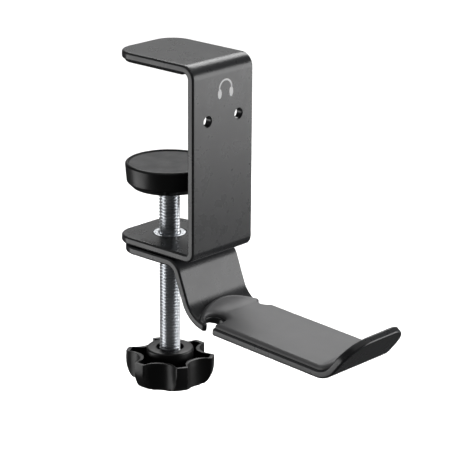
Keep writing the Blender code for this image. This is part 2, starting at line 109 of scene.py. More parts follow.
# Cable notch in the near side of the cradle and the dent in its far side
NOTCH_U = -0.2
NOTCH_X = 10.5
NOTCH_R = 3.5
NOTCH_MOUTH_R = 0.9
NOTCH_HORN_R = 1.1
DENT_U = 1.4
DENT_R = 3.2
DENT_OUT = 0.9
DENT_CORNER_R = 1.5
NOTCH_REACH_BACK = 4.0
NOTCH_REACH_FRONT = 4.8
DENT_REACH = 4.4

# Cradle pad
PAD_GAP = 0.12
PAD_T = 1.8
PAD_INSET = 0.6
PAD_EDGE_R = 1.35
PAD_REAR = 11.0
PAD_BOW_R = 19.5
PAD_REAR_CORNER_R = 1.5
PAD_FRONT_CORNER_R = 6.0
PAD_NOTCH_STEP = 0.7
PAD_MOUTH_R = 0.9
PAD_HORN_R = 0.5
PAD_ROW = 0.9
PAD_EDGE_ROWS = (0.06, 0.16, 0.3, 0.5, 0.75, 1.05, 1.4, 1.9, 2.5, 3.1)
DISH_DEPTH = 0.95
DISH_NARROW = 1.2
DISH_WIDE = 3.0
DISH_LEAN_DEG = 60.0

# Foot
FOOT_R = 16.0
FOOT_H = 8.8
FOOT_BOTTOM = 18.5
FOOT_CHAMFER = 2.2
FOOT_WALL = 1.0
FOOT_FLOOR = 3.5
FOOT_POCKET_R = 7.6
FOOT_FACE_T = 1.9
NECK_R = 2.6
NECK_RUN = 0.07
STEP_GAP = 0.1
TIP_WASHER_T = 0.8
RIVET_R = 3.8
RIVET_T = 1.3

# Star knob
KNOB_LOBES = 6
KNOB_TIP_R = 17.3
KNOB_FLUTE_R = 12.3
KNOB_TIP_DEG = 16.0
KNOB_RIM = -49.1
KNOB_BOTTOM = -60.0
KNOB_BOSS_TOP = -46.6
KNOB_BOSS_R = 9.1
KNOB_BORE_R = 5.25
KNOB_BORE_DEPTH = 3.0
KNOB_WALL = 1.7
KNOB_FLOOR = -57.0
KNOB_DOME_H = 8.5
KNOB_BASE_R = 13.2
HEX_ACROSS_FLATS = 13.0
HEX_HEIGHT = 5.3
HEX_FIT = 0.1
HEX_RECESS = 0.3
HEX_SEAT_GAP = 0.2
KNOB_RIM_EASE = 0.35

# Printed pictogram on the plate
MARK_LIFT = 0.02
MARK_SPOT = (1.1, -6.6)
MARK_BAND = (2.9, 3.6)
MARK_CUP_X = 3.05
MARK_CUP_Z = -8.3
MARK_CUP_R = (1.0, 1.9)
MARK_CUP_STEPS = 24

# Fineness
TURN_STEPS = 144
STAR_STEPS = 360
BEND_STEP_DEG = 2.5
CORNER_STEPS = 20
NOTCH_STEPS = 48
MOUTH_STEPS = 8
EDGE_STEPS = 6
CAP_GRID = 2.5

# Heights that several pieces share
ARM_TOP = -JAW_GAP
ARM_BOTTOM = ARM_TOP - STRIP_T
TAB_TOP = ARM_BOTTOM - 2.0 * FACE_GAP - FRICTION_WASHER[2]
TAB_BOTTOM = TAB_TOP - STRIP_T
WAVE_TOP = TAB_BOTTOM - FACE_GAP
RETAINER_TOP = TAB_BOTTOM - 2.0 * FACE_GAP - WAVE_WASHER[2]
BUSH_BOTTOM = RETAINER_TOP - RETAINER[2]


# ---------------------------------------------------------------- materials


class Nodes:
    """A material's node tree, with short calls for the nodes that the finishes share."""

    def __init__(self, name):
        self.material = bpy.data.materials.new(name)
        self.material.use_nodes = True
        self.tree = self.material.node_tree
        self.shader = self.tree.nodes["Principled BSDF"]
        self.spot = self.add("ShaderNodeTexCoord").outputs["Object"]

    def add(self, kind, **settings):
        node = self.tree.nodes.new(kind)
        for key, value in settings.items():
            setattr(node, key, value)
        return node

    def link(self, source, target):
        self.tree.links.new(source, target)

    def noise(self, size_mm, detail=3.0, roughness=0.6):
        """Noise whose features are about size_mm across."""
        node = self.add("ShaderNodeTexNoise")
        node.inputs["Scale"].default_value = 1.0 / (size_mm * MM)
        node.inputs["Detail"].default_value = detail
        node.inputs["Roughness"].default_value = roughness
        self.link(self.spot, node.inputs["Vector"])
        return node.outputs["Fac"]

    def spread(self, source, low, high, start=0.3, end=0.7):
        """source from start to end, mapped to low to high."""
        node = self.add("ShaderNodeMapRange")
        node.inputs["From Min"].default_value = start
        node.inputs["From Max"].default_value = end
        node.inputs["To Min"].default_value = low
        node.inputs["To Max"].default_value = high
        self.link(source, node.inputs["Value"])
        return node.outputs["Result"]

    def blend_colors(self, factor, first, second):
        node = self.add("ShaderNodeMix", data_type="RGBA")
        self.link(factor, node.inputs["Factor"])
        node.inputs["A"].default_value = (*first, 1.0)
        node.inputs["B"].default_value = (*second, 1.0)
        return node.outputs["Result"]

    def bump(self, source, depth_mm, after=None):
        node = self.add("ShaderNodeBump")
        node.inputs["Strength"].default_value = 1.0
        node.inputs["Distance"].default_value = depth_mm * MM
        self.link(source, node.inputs["Height"])
        if after is not None:
            self.link(after, node.inputs["Normal"])
        return node.outputs["Normal"]

    def set(self, **values):
        for key, value in values.items():
            self.shader.inputs[key.replace("_", " ")].default_value = value


def finish(name, dark, light, rough, grain_mm, grain_depth, **values):
    """A finish whose colour and roughness drift between two values, over a fine grain.

    rough is (smoothest, roughest), and grain_depth is the grain's height in millimetres.
    """
    made = Nodes(name)
    cloud = made.noise(6.0)
    fine = made.noise(grain_mm, detail=2.0)
    made.link(made.blend_colors(cloud, dark, light), made.shader.inputs["Base Color"])
    made.link(made.spread(cloud, rough[0], rough[1]), made.shader.inputs["Roughness"])
    coarse = made.bump(made.noise(grain_mm * 5.0, detail=1.0), grain_depth)
    made.link(made.bump(fine, grain_depth, after=coarse), made.shader.inputs["Normal"])
    made.set(**values)
    return made.material


def make_finishes():
    return {
        "coated_steel": finish(
            "powder_coat",
            (0.032, 0.033, 0.035),
            (0.034, 0.035, 0.037),
            (0.26, 0.31),
            0.3,
            0.0007,
            Specular_IOR_Level=0.5,
        ),
        "zinc_plate": finish(
            "bright_zinc",
            (0.60, 0.62, 0.65),
            (0.72, 0.74, 0.76),
            (0.28, 0.38),
            0.5,
            0.001,
            Metallic=1.0,
        ),
        "black_plastic": finish(
            "moulded_black_plastic",
            (0.005, 0.005, 0.0052),
            (0.008, 0.008, 0.0082),
            (0.32, 0.4),
            0.25,
            0.002,
            Specular_IOR_Level=0.45,
        ),
        "jaw_pad_foam": finish(
            "foam_sheet",
            (0.045, 0.045, 0.046),
            (0.06, 0.06, 0.062),
            (0.8, 0.95),
            0.3,
            0.03,
            Specular_IOR_Level=0.25,
        ),
        "cradle_silicone": finish(
            "matte_silicone",
            (0.145, 0.145, 0.148),
            (0.16, 0.16, 0.163),
            (0.42, 0.5),
            0.2,
            0.0015,
            Specular_IOR_Level=0.45,
        ),
        "foot_face_rubber": finish(
            "face_rubber",
            (0.027, 0.028, 0.030),
            (0.032, 0.033, 0.035),
            (0.5, 0.62),
            0.3,
            0.006,
            Specular_IOR_Level=0.35,
        ),
        "black_nylon": finish(
            "washer_nylon",
            (0.012, 0.012, 0.012),
            (0.018, 0.018, 0.018),
            (0.45, 0.55),
            0.3,
            0.003,
        ),
        "spring_steel": finish(
            "spring_strip",
            (0.36, 0.36, 0.37),
            (0.48, 0.48, 0.49),
            (0.25, 0.4),
            0.4,
            0.003,
            Metallic=1.0,
        ),
        "print": finish(
            "pad_print_ink",
            (0.86, 0.86, 0.86),
            (0.92, 0.92, 0.92),
            (0.4, 0.5),
            0.2,
            0.002,
        ),
    }


# ---------------------------------------------------------------- meshes


def add_piece(name, points, faces, material, sharp_deg=35.0):
    """A mesh from points in millimetres, with smooth shading that keeps its flat faces flat."""
    mesh = bpy.data.meshes.new(name)
    mesh.from_pydata([Vector(p) * MM for p in points], [], faces)
    work = bmesh.new()
    work.from_mesh(mesh)
    bmesh.ops.remove_doubles(work, verts=work.verts, dist=1e-6)
    bmesh.ops.recalc_face_normals(work, faces=work.faces)
    work.to_mesh(mesh)
    work.free()
    mesh.materials.append(material)
    mesh.shade_smooth()
    mesh.set_sharp_from_angle(angle=math.radians(sharp_deg))
    made = bpy.data.objects.new(name, mesh)
    bpy.context.scene.collection.objects.link(made)
    weigh = made.modifiers.new("flat_faces", "WEIGHTED_NORMAL")
    weigh.keep_sharp = True
    return made


def ring_faces(first, second, count):
    return [
        (first + k, first + (k + 1) % count, second + (k + 1) % count, second + k)
        for k in range(count)
    ]


def turned(name, rings, material, steps=TURN_STEPS, through=True, z_shift=0.0):
    """Rings of (radius or radius function, height) joined in order. A through piece ends on its first."""
    points = []
    for radius, height in rings:
        for k in range(steps):
            angle = 2.0 * math.pi * k / steps
            reach = radius(angle) if callable(radius) else radius
            high = height(angle) if callable(height) else height
            points.append((reach * math.cos(angle), reach * math.sin(angle), high + z_shift))
    faces = []
    for k in range(len(rings) - 1):
        faces += ring_faces(k * steps, (k + 1) * steps, steps)
    last = (len(rings) - 1) * steps
    if through:
        faces += ring_faces(last, 0, steps)
    else:
        faces.append(tuple(range(steps)))
        faces.append(tuple(range(last + steps - 1, last - 1, -1)))
    return add_piece(name, points, faces, material)


def eased(profile, radii, steps=4):
    """A closed profile of (radius, height) corners, each rounded by its own radius."""
    found = []
    count = len(profile)
    for k in range(count):
        before = Vector(profile[k - 1])
        here = Vector(profile[k])
        after = Vector(profile[(k + 1) % count])
        radius = radii[k] if isinstance(radii, (list, tuple)) else radii
        if not radius:
            found.append(tuple(here))
            continue
        back = (before - here).normalized()
        ahead = (after - here).normalized()
        half = back.angle(ahead) / 2.0
        reach = radius / math.tan(half)
        middle = here + (back + ahead).normalized() * (radius / math.sin(half))
        start = here + back * reach - middle
        end = here + ahead * reach - middle
        for n in range(steps + 1):
            share = n / steps
            found.append(tuple(middle + start.slerp(end, share)))
    return found


def arc(center, radius, start_deg, end_deg, steps, off, convex=True):
    """An outline's arc, moved into the material by off. A convex arc shrinks, a concave one grows."""
    reach = radius - off if convex else radius + off
    found = []
    for k in range(steps + 1):
        angle = math.radians(start_deg + (end_deg - start_deg) * k / steps)
        found.append((center[0] + reach * math.cos(angle), center[1] + reach * math.sin(angle)))
    return found


def ring_point(ring, angle):
    u, v, across_u, across_v = ring
    return u + across_u * math.cos(angle), v + across_v * math.sin(angle)


def horn_spot(ring, height, radius):
    """Where a circle at this v, behind the ring, touches it: its middle's u and the ring's angle there."""
    turns = [math.pi / 3.0 + math.pi * k / 720.0 for k in range(601)]
    near, far = ring[0] - 3.0 * ring[2], ring[0]
    for _ in range(40):
        middle = (near + far) / 2.0
        touch = min(turns, key=lambda a: math.dist(ring_point(ring, a), (middle, height)))
        if math.dist(ring_point(ring, touch), (middle, height)) > radius:
            near = middle
        else:
            far = middle
    return middle, touch


def notch_side(ring, edge, mouth_r, horn_r):
    """An oval hole near the strip's edge and the mouth it opens through, walked as u falls.

    ring is the hole's middle and its two half widths, as (u, v, along u, along v). The mouth's front wall
    runs straight out from the hole, and a horn with a round tip narrows it from behind.
    """
    front_u = ring[0] + ring[2]
    high = edge - horn_r
    horn_u, touch = horn_spot(ring, high, horn_r)
    x, y = ring_point(ring, touch)
    lean = math.degrees(math.atan2(y - high, x - horn_u))
    front = arc((front_u + mouth_r, edge - mouth_r), mouth_r, 90.0, 180.0, MOUTH_STEPS, 0.0)
    sweep = touch - 2.0 * math.pi
    wall = [ring_point(ring, sweep * k / NOTCH_STEPS) for k in range(NOTCH_STEPS + 1)]
    horn = arc((horn_u, high), horn_r, lean, 90.0, MOUTH_STEPS, 0.0)
    return front + wall + horn[1:]


def dent_side(off, middle, edge):
    """A shallow dent in the strip's edge with rounded shoulders, walked in the direction of falling u."""
    reach = math.sqrt((DENT_R + DENT_CORNER_R) ** 2 - (DENT_OUT + DENT_CORNER_R) ** 2)
    lean = math.degrees(math.atan2(DENT_OUT + DENT_CORNER_R, reach))
    high = edge - DENT_CORNER_R
    first = arc((middle + reach, high), DENT_CORNER_R, 90.0, 180.0 - lean, MOUTH_STEPS, off)
    hollow = arc((middle, edge + DENT_OUT), DENT_R, -lean, lean - 180.0, NOTCH_STEPS, off, convex=False)
    second = arc((middle - reach, high), DENT_CORNER_R, lean, 90.0, MOUTH_STEPS, off)
    return first + hollow[1:] + second[1:]


def side_points(off, half, start, end, stations, span, cut):
    """One side of a blank, as u falls, with a cut of (points, lowest u, highest u) in it."""
    along = [(u, half - off) for u in stations[::-1] if span[0] + 0.3 < u < span[1] - 0.3]
    if cut:
        points, low, high = cut
        along = [p for p in along if p[0] > high] + points + [p for p in along if p[0] < low]
    return end + along + start


def whole_outline(near, far):
    """The two sides as one loop. The near side is the one with negative v."""
    return far + [(u, -v) for u, v in near[::-1] if v > 1e-6]


def inside(point, loop):
    found = False
    for k in range(len(loop)):
        a, b = loop[k - 1], loop[k]
        if (a[1] > point[1]) != (b[1] > point[1]):
            cross = a[0] + (point[1] - a[1]) / (b[1] - a[1]) * (b[0] - a[0])
            if point[0] < cross:
                found = not found
    return found


def cap_triangles(loops, stations, half):
    """Triangles over the area inside the first loop and outside the others, with points on the stations."""
    points = [Vector(p) for loop in loops for p in loop]
    rim = len(points)
    edges = []
    base = 0
    for loop in loops:
        edges += [(base + k, base + (k + 1) % len(loop)) for k in range(len(loop))]
        base += len(loop)
    columns = max(2, round(2.0 * half / CAP_GRID))
    for u in stations:
        for k in range(1, columns):
            spot = (u, -half + 2.0 * half * k / columns)
            held = inside(spot, loops[0]) and not any(inside(spot, hole) for hole in loops[1:])
            if held and min(math.dist(spot, q) for loop in loops for q in loop) > 0.5:
                points.append(Vector(spot))
    verts, _, faces, origin, _, _ = geometry.delaunay_2d_cdt(points, edges, [], 1, 1e-6)
    if len(verts) != len(points):
        raise ValueError("the blank's outline crosses itself")
    source = [ids[0] for ids in origin]
    kept = []
    for face in faces:
        middle = [sum(verts[k][axis] for k in face) / len(face) for axis in (0, 1)]
        if inside(middle, loops[0]) and not any(inside(middle, hole) for hole in loops[1:]):
            kept.append(tuple(source[k] for k in face))
    return kept, [tuple(p) for p in points[rim:]]


def round_edge(face, radius, up):
    """(height, inset) pairs from a face to where its rounded edge ends."""
    if not radius:
        return [(face, 0.0)]
    turns = [math.pi / 2.0 * k / EDGE_STEPS for k in range(EDGE_STEPS + 1)]
    return [(face + up * radius * (1.0 - math.cos(a)), radius * (1.0 - math.sin(a))) for a in turns]


def sheet_levels(low, high, low_r, high_r):
    return round_edge(low, low_r, 1.0) + round_edge(high, high_r, -1.0)[::-1]


def bent_sheet(name, loops_at, levels, stations, half, place, material):
    """A sheet cut as a flat blank, its edges rounded level by level, then bent by place(u, v, t)."""
    rings = [loops_at(height, off) for height, off in levels]
    points = []
    starts = []
    for (height, _), loops in zip(levels, rings):
        firsts = []
        for loop in loops:
            firsts.append(len(points))
            points += [(u, v, height) for u, v in loop]
        starts.append(firsts)
    faces = []
    for low, high, loops in zip(starts, starts[1:], rings):
        for first, second, loop in zip(low, high, loops):
            faces += ring_faces(first, second, len(loop))
    for firsts, loops, (height, _) in ((starts[0], rings[0], levels[0]), (starts[-1], rings[-1], levels[-1])):
        caps, inner = cap_triangles(loops, stations, half)
        rim = sum(len(loop) for loop in loops)
        extra = len(points) - rim
        points += [(u, v, height) for u, v in inner]
        faces += [tuple(firsts[0] + k if k < rim else extra + k for k in face) for face in caps]
    return add_piece(name, [place(u, v, t) for u, v, t in points], faces, material)


class Path:
    """A strip's middle line in the YZ plane, made of straight runs and bends, with u measured along it."""

    def __init__(self, y, z, heading_deg):
        self.pieces = []
        self.length = 0.0
        self.stations = []
        self.spot = (y, z, math.radians(heading_deg))

    def straight(self, length):
        y, z, heading = self.spot
        self.pieces.append((self.length, length, 0.0, self.spot))
        self.spot = (y + length * math.cos(heading), z + length * math.sin(heading), heading)
        self.length += length
        return self

    def bend(self, radius, turn_deg):
        """A bend about the middle line's radius. A positive turn is to the left of the heading."""
        turn = math.radians(turn_deg)
        length = radius * abs(turn)
        y, z, heading = self.spot
        steps = max(2, round(abs(turn_deg) / BEND_STEP_DEG))
        self.stations += [self.length + length * k / steps for k in range(steps + 1)]
        self.pieces.append((self.length, length, turn, self.spot))
        side = math.copysign(radius, turn)
        self.spot = (
            y + side * (math.sin(heading + turn) - math.sin(heading)),
            z - side * (math.cos(heading + turn) - math.cos(heading)),
            heading + turn,
        )
        self.length += length
        return self

    def at(self, u):
        for start, length, turn, (y, z, heading) in self.pieces:
            if u <= start + length + 1e-9:
                break
        run = u - start
        if not turn:
            return y + run * math.cos(heading), z + run * math.sin(heading), heading
        now = heading + turn * run / length
        side = length / turn
        return (
            y + side * (math.sin(now) - math.sin(heading)),
            z - side * (math.cos(now) - math.cos(heading)),
            now,
        )

    def place(self, u, v, t):
        """The point t above the middle line, on the side to the left of the heading."""
        y, z, heading = self.at(u)
        return v, y - t * math.sin(heading), z + t * math.cos(heading)


def bracket_path():
    upper_mid = JAW_PAD_T + STRIP_T / 2.0
    upper_r = UPPER_BEND_R + STRIP_T / 2.0
    lower_r = LOWER_BEND_R + STRIP_T / 2.0
    plate_mid = PLATE_Y + STRIP_T / 2.0
    lower_mid = ARM_TOP - STRIP_T / 2.0
    path = Path(UPPER_REACH, upper_mid, 180.0)
    path.straight(UPPER_REACH - (plate_mid + upper_r))
    path.bend(upper_r, 90.0)
    path.straight(upper_mid - upper_r - (lower_mid + lower_r))
    path.bend(lower_r, 90.0)
    path.straight(LOWER_REACH - (plate_mid + lower_r))
    return path


def hook_path():
    mid = STRIP_T / 2.0
    path = Path(TAB_REACH, TAB_TOP - mid, 180.0)
    path.straight(TAB_REACH - FIRST_BEND_Y)
    path.bend(FIRST_BEND_R + mid, FIRST_BEND_DEG)
    path.straight(PANEL_LENGTH)
    path.bend(SECOND_BEND_R + mid, -(FIRST_BEND_DEG - CRADLE_DEG))
    cradle_start = path.length
    path.straight(CRADLE_LENGTH)
    path.bend(LIP_BEND_R + mid, -(LIP_DEG + CRADLE_DEG))
    lip_start = path.length
    path.straight(LIP_LENGTH)
    return path, cradle_start, lip_start


def flipped(path, shift=0.0):
    """The hook path heads towards -Y, so its left is the underside: height counts the other way."""

    def place(u, v, t):
        return path.place(u + shift, v, -t)

    return place


def circle(center, radius, steps):
    turns = [2.0 * math.pi * k / steps for k in range(steps)]
    return [(center[0] + radius * math.cos(a), center[1] + radius * math.sin(a)) for a in turns]


def build_bracket(material):
    path = bracket_path()
    half = STRIP_W / 2.0
    hole_u = path.pieces[2][0] + PLATE_HOLE_BELOW_TOP - UPPER_BEND_R - STRIP_T
    bush_u = path.length - LOWER_REACH
    corner = BLANK_CORNER_R

    def loops_at(height, off):
        start = arc((corner, half - corner), corner, 90.0, 180.0, CORNER_STEPS, off)
        end = arc((path.length - corner, half - corner), corner, 0.0, 90.0, CORNER_STEPS, off)
        span = (corner, path.length - corner)
        side = side_points(off, half, start, end, path.stations, span, None)
        holes = [
            circle((hole_u, x), PLATE_HOLE_R + off * HOLE_EASE, TURN_STEPS // 2)
            for x in (-PLATE_HOLE_X, PLATE_HOLE_X)
        ]
        seat = BUSH_SEAT_R + (off * BUSH_SEAT_EASE if height > 0.0 else 0.0)
        return [whole_outline(side, side)] + holes + [circle((bush_u, 0.0), seat, TURN_STEPS)]

    levels = sheet_levels(-STRIP_T / 2.0, STRIP_T / 2.0, EDGE_R, EDGE_R)
    return bent_sheet("bracket_strip", loops_at, levels, path.stations, half, path.place, material)


def build_jaw_pad(material):
    length = UPPER_REACH - PLATE_Y - STRIP_T - UPPER_BEND_R - 2.0 * JAW_PAD_INSET
    half = STRIP_W / 2.0 - JAW_PAD_INSET
    front = UPPER_REACH - JAW_PAD_INSET
    corner = BLANK_CORNER_R - JAW_PAD_INSET

    def loops_at(_, off):
        start = arc((corner, half - corner), corner, 90.0, 180.0, CORNER_STEPS, off)
        rear = JAW_PAD_REAR_CORNER_R
        end = arc((length - rear, half - rear), rear, 0.0, 90.0, MOUTH_STEPS, off)
        side = side_points(off, half, start, end, [], (corner, length), None)
        return [whole_outline(side, side)]

    def place(u, v, t):
        return v, front - u, t

    levels = sheet_levels(0.0, JAW_PAD_T - GLUE, JAW_PAD_EDGE_R, 0.0)
    return bent_sheet("jaw_pad_sheet", loops_at, levels, [], half, place, material)


def build_hook(material):
    path, cradle_start, _ = hook_path()
    half = STRIP_W / 2.0
    hole_u = cradle_start + NOTCH_U
    dent_u = cradle_start + DENT_U

    def loops_at(_, off):
        corner = BLANK_CORNER_R
        start = arc((corner, half - corner), corner, 90.0, 180.0, CORNER_STEPS, off)
        corner = LIP_CORNER_R
        end = arc((path.length - corner, half - corner), corner, 0.0, 90.0, CORNER_STEPS, off)
        span = (BLANK_CORNER_R, path.length - LIP_CORNER_R)
        ring = (hole_u, NOTCH_X, NOTCH_R + off, NOTCH_R + off)
        points = notch_side(ring, half - off, NOTCH_MOUTH_R - off, NOTCH_HORN_R - off)
        notch = (points, hole_u - NOTCH_REACH_BACK, hole_u + NOTCH_REACH_FRONT)
        dent = (dent_side(off, dent_u, half), dent_u - DENT_REACH, dent_u + DENT_REACH)
        near = side_points(off, half, start, end, path.stations, span, notch)
        far = side_points(off, half, start, end, path.stations, span, dent)
        return [whole_outline(near, far), circle((TAB_REACH, 0.0), PIVOT_R, TURN_STEPS)]

    levels = sheet_levels(-STRIP_T / 2.0, STRIP_T / 2.0, EDGE_R, EDGE_R)
    return bent_sheet("hook_strip", loops_at, levels, path.stations, half, flipped(path), material)


def pad_outline():
    """The cradle pad's outline on the blank, and how its points split: the notch's wall, then the rest."""
    half = STRIP_W / 2.0 - PAD_INSET
    path, cradle_start, lip_start = hook_path()
    rear = cradle_start - PAD_REAR
    length = lip_start - rear
    stations = [u - rear for u in path.stations]
    corner_r = PAD_REAR_CORNER_R
    corner_u = PAD_BOW_R - math.sqrt((PAD_BOW_R - corner_r) ** 2 - (half - corner_r) ** 2)
    meet = math.degrees(math.atan2(half - corner_r, corner_u - PAD_BOW_R))
    front_r = PAD_FRONT_CORNER_R
    start = arc((corner_u, half - corner_r), corner_r, 90.0, meet, CORNER_STEPS, 0.0)
    start += arc((PAD_BOW_R, 0.0), PAD_BOW_R, meet, 180.0, 2 * CORNER_STEPS, 0.0)[1:]
    end = arc((length - front_r, half - front_r), front_r, 0.0, 90.0, CORNER_STEPS, 0.0)
    hole_r = NOTCH_R + PAD_NOTCH_STEP
    hole_u = PAD_REAR + NOTCH_U
    dent_u = PAD_REAR + DENT_U
    wall = notch_side((hole_u, NOTCH_X, hole_r, hole_r), half, PAD_MOUTH_R, PAD_HORN_R)
    notch = (wall, hole_u - 3.0, hole_u + hole_r + PAD_MOUTH_R + 0.2)
    dent = (dent_side(0.0, dent_u, half), dent_u - DENT_REACH, dent_u + DENT_REACH)
    rows = stations + [k * PAD_ROW for k in range(1, int(length / PAD_ROW))]
    rows = sorted(set(rows))
    span = (corner_u, length - front_r)
    near = side_points(0.0, half, start, end, rows, span, notch)
    far = side_points(0.0, half, start, end, rows, span, dent)
    loop = whole_outline(near, far)
    dished = {(u, -v) for u, v in wall[MOUTH_STEPS + 1 : MOUTH_STEPS + 1 + NOTCH_STEPS + 1]}
    return loop, [p in dished for p in loop], rear, length


def roll(distance, width, depth):
    """How far a rounded edge of this width and depth has fallen at a distance from it."""
    share = np.clip(1.0 - distance / width, 0.0, 1.0)
    return depth * (1.0 - np.sqrt(np.clip(1.0 - share**2, 0.0, 1.0)))


def pad_fall(spots, loop, dished):
    """How far the pad's top lies below its flat at each spot: rolled edges, and a dish round the notch."""
    spots = np.array(spots)
    loop = np.array(loop)
    dished = np.array(dished)
    gaps = np.linalg.norm(spots[:, None, :] - loop[None, :, :], axis=2)
    outer = gaps[:, ~dished].min(axis=1)
    wall = gaps[:, dished].min(axis=1)
    away = spots - np.array([PAD_REAR + NOTCH_U, -NOTCH_X])
    lean = np.arctan2(away[:, 1], away[:, 0])
    inward = 0.5 + 0.5 * np.cos(lean - math.radians(DISH_LEAN_DEG))
    width = DISH_NARROW + (DISH_WIDE - DISH_NARROW) * inward**1.5
    return np.maximum(roll(outer, PAD_EDGE_R, PAD_EDGE_R), roll(wall, width, DISH_DEPTH)), gaps.min(axis=1)


def pad_spots(loop, dished, length, half):
    """Points over the pad: rows that follow its edge, close together where it rolls over, then a grid."""
    count = len(loop)
    spots = []
    for distance in PAD_EDGE_ROWS:
        for k in range(count):
            along = Vector(loop[(k + 1) % count]) - Vector(loop[k - 1])
            inward = Vector((-along.y, along.x)).normalized() * distance
            spots.append((tuple(Vector(loop[k]) + inward), distance * 0.93))
            spots.append((tuple(Vector(loop[k]) - inward), distance * 0.93))
    reach = PAD_EDGE_ROWS[-1] + PAD_ROW / 2.0
    for row in range(int(length / PAD_ROW)):
        for column in range(int(2.0 * half / PAD_ROW)):
            spots.append(((row * PAD_ROW, -half + column * PAD_ROW), reach))
    _, gaps = pad_fall([spot for spot, _ in spots], loop, dished)
    kept = {}
    for (spot, least), gap in zip(spots, gaps):
        if gap > least and inside(spot, loop):
            kept.setdefault((round(spot[0] / 0.12), round(spot[1] / 0.12)), spot)
    return list(kept.values())


def build_cradle_pad(material):
    """The soft cover: a bowed rear end on the panel, rolled edges and a dished cable notch."""
    path, _, _ = hook_path()
    loop, dished, rear, length = pad_outline()
    half = STRIP_W / 2.0 - PAD_INSET
    place = flipped(path, rear)
    top = STRIP_T / 2.0 + PAD_T
    low = STRIP_T / 2.0 + PAD_GAP
    spots = pad_spots(loop, dished, length, half)
    count = len(loop)
    flat = loop + spots
    edges = [(k, (k + 1) % count) for k in range(count)]
    verts, _, tops, origin, _, _ = geometry.delaunay_2d_cdt([Vector(p) for p in flat], edges, [], 1, 1e-6)
    if len(verts) != len(flat):
        raise ValueError("two of the pad's points meet")
    source = [ids[0] for ids in origin]
    tops = [tuple(source[k] for k in face) for face in tops]
    tops = [f for f in tops if inside([sum(flat[k][axis] for k in f) / 3.0 for axis in (0, 1)], loop)]
    fall, _ = pad_fall(flat, loop, dished)
    points = [place(u, v, top - drop) for (u, v), drop in zip(flat, fall)]
    base = len(points)
    points += [place(u, v, low) for u, v in flat]
    faces = list(tops) + [tuple(base + k for k in reversed(face)) for face in tops]
    faces += ring_faces(base, 0, count)
    return add_piece("cradle_cover", points, faces, material, sharp_deg=50.0)


def build_bush(material):
    """The staked bush: a flush head with two punch marks, a journal for the hook and a bevelled bore."""
    marks = (math.radians(42.0), math.radians(-138.0))

    def face(angle):
        away = min(abs((angle - mark + math.pi) % (2.0 * math.pi) - math.pi) for mark in marks)
        return ARM_TOP - STAKE_DEPTH * math.exp(-((away * STAKE_R / STAKE_W) ** 2) * 3.0)

    rings = [
        (BUSH_BORE_R, ARM_TOP - BORE_BEVEL),
        (BUSH_BORE_R + BORE_BEVEL, ARM_TOP),
        (STAKE_R - 0.35, ARM_TOP),
        (STAKE_R, face),
        (STAKE_R + 0.3, face),
        (STAKE_R + 0.6, ARM_TOP),
        (BUSH_HEAD_R - 0.15, ARM_TOP),
        (BUSH_HEAD_R - 0.04, ARM_TOP - 0.04),
        (BUSH_HEAD_R, ARM_TOP - 0.15),
        (BUSH_HEAD_R, ARM_BOTTOM),
        (BUSH_JOURNAL_R, ARM_BOTTOM),
        (BUSH_JOURNAL_R, BUSH_BOTTOM + 0.3),
        (BUSH_JOURNAL_R - 0.3, BUSH_BOTTOM),
        (BUSH_BORE_R + BORE_BEVEL, BUSH_BOTTOM),
        (BUSH_BORE_R, BUSH_BOTTOM + BORE_BEVEL),
    ]
    return turned("staked_bush", rings, material)


def build_washer(name, size, top, material, wave=0.0):
    inner, outer, thickness = size
    profile = [(inner, top), (outer, top), (outer, top - thickness), (inner, top - thickness)]
    ease = thickness * 0.22
    rings = []
    for radius, height in eased(profile, ease):
        if wave:
            rings.append((radius, lambda a, h=height: h + wave * math.sin(3.0 * a)))
        else:
            rings.append((radius, height))
    return turned(name, rings, material)


def thread_radius(phase):
    """The thread's radius at a phase of its pitch: a flat crest, straight flanks and a round root."""
    away = abs(phase - 0.5) * 2.0
    if away < 0.16:
        return SCREW_R
    fall = (away - 0.16) / 0.84
    root = SCREW_R - THREAD_DEPTH
    straight = SCREW_R - (THREAD_DEPTH + 0.12) * fall / 0.92
    return max(root + 0.03 * (1.0 - fall), straight)


